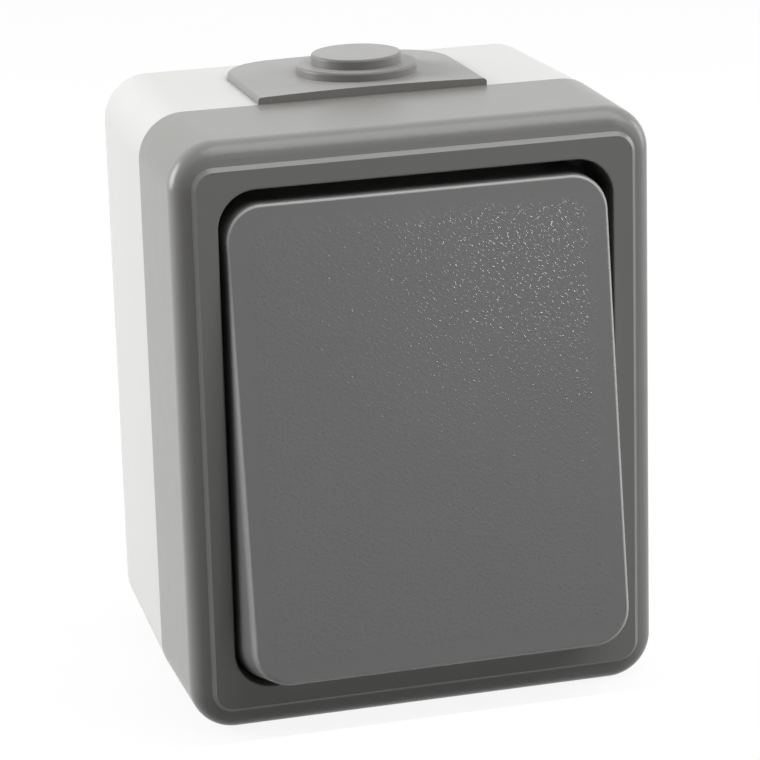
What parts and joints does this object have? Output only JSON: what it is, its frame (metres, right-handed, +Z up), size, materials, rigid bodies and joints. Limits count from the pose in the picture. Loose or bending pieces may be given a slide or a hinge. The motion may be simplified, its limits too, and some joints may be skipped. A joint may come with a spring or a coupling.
{
  "type": "surface-mounted weatherproof rocker switch",
  "caption": "Surface-mounted weatherproof light switch: pale box, grey stepped cover with a cable grommet on top, and a wide rocker that tips a sprung change-over contact inside.",
  "frame": {"origin": "middle of the box's flat rear face, in the wall plane", "axes": "+Z up, +Y into the wall, front of the rocker towards -Y, +X to the right seen from the front"},
  "size_m": [0.066, 0.0576, 0.0857],
  "materials": {
    "box_plastic": "fine satin moulding",
    "cover_plastic": "fine satin moulding",
    "rocker_plastic": "spark-eroded face with a smooth rim",
    "grommet_rubber": "soft matt",
    "seal_rubber": "soft matt",
    "insert_plastic": "moulded",
    "plunger_plastic": "smooth",
    "screw_steel": "zinc plated",
    "spring_steel": "drawn wire",
    "contact_brass": "stamped",
    "contact_silver": "pressed"
  },
  "bodies": {
    "housing": {"back_box": "box_plastic", "cable_grommet": "grommet_rubber", "cover_gasket": "seal_rubber", "cover_frame": "cover_plastic", "cover_screws": "screw_steel", "cover_screw_seals": "seal_rubber", "sealing_membrane": "seal_rubber", "mechanism_base": "insert_plastic", "bearing_plate": "insert_plastic", "bearing_plate_screws": "screw_steel", "mechanism_screws": "screw_steel", "fixed_contacts": "contact_silver", "common_contact": "contact_brass", "upper_contact": "contact_brass", "lower_contact": "contact_brass", "common_terminal": "contact_brass", "upper_terminal": "contact_brass", "lower_terminal": "contact_brass", "terminal_screws": "screw_steel"},
    "rocker": {"rocker": "rocker_plastic"},
    "yoke": {"yoke": "plunger_plastic", "plunger_spring": "spring_steel"},
    "plunger": {"plunger": "plunger_plastic"},
    "contact": {"contact_blade": "contact_brass", "moving_contacts": "contact_silver"}
  },
  "joints": [
    {"name": "rocker_tilt", "type": "hinge", "parent": "housing", "child": "rocker", "pos_m": [0, -0.0488, 0], "axis": [1, 0, 0], "range_deg": [0, 15.8]},
    {"name": "yoke_tilt", "type": "hinge", "parent": "housing", "child": "yoke", "pos_m": [0, -0.032, 0], "axis": [1, 0, 0], "range_deg": [0, 15.8], "deforming": ["sealing_membrane"]},
    {"name": "contact_tilt", "type": "hinge", "parent": "housing", "child": "contact", "pos_m": [0, -0.02115, 0], "axis": [1, 0, 0], "range_deg": [-12, 0]},
    {"name": "plunger_press", "type": "slide", "parent": "yoke", "child": "plunger", "axis": [0, -0.9905, 0.1374], "range_m": [0, 0.0008], "stiffness_N_per_m": 300, "springref_m": -0.003, "deforming": ["plunger_spring"]}
  ],
  "couplings": [
    {"joint": "yoke_tilt", "follows": "rocker_tilt", "ratio": 1},
    {"joint": "contact_tilt", "follows": "rocker_tilt", "ratio": -0.75949}
  ]
}
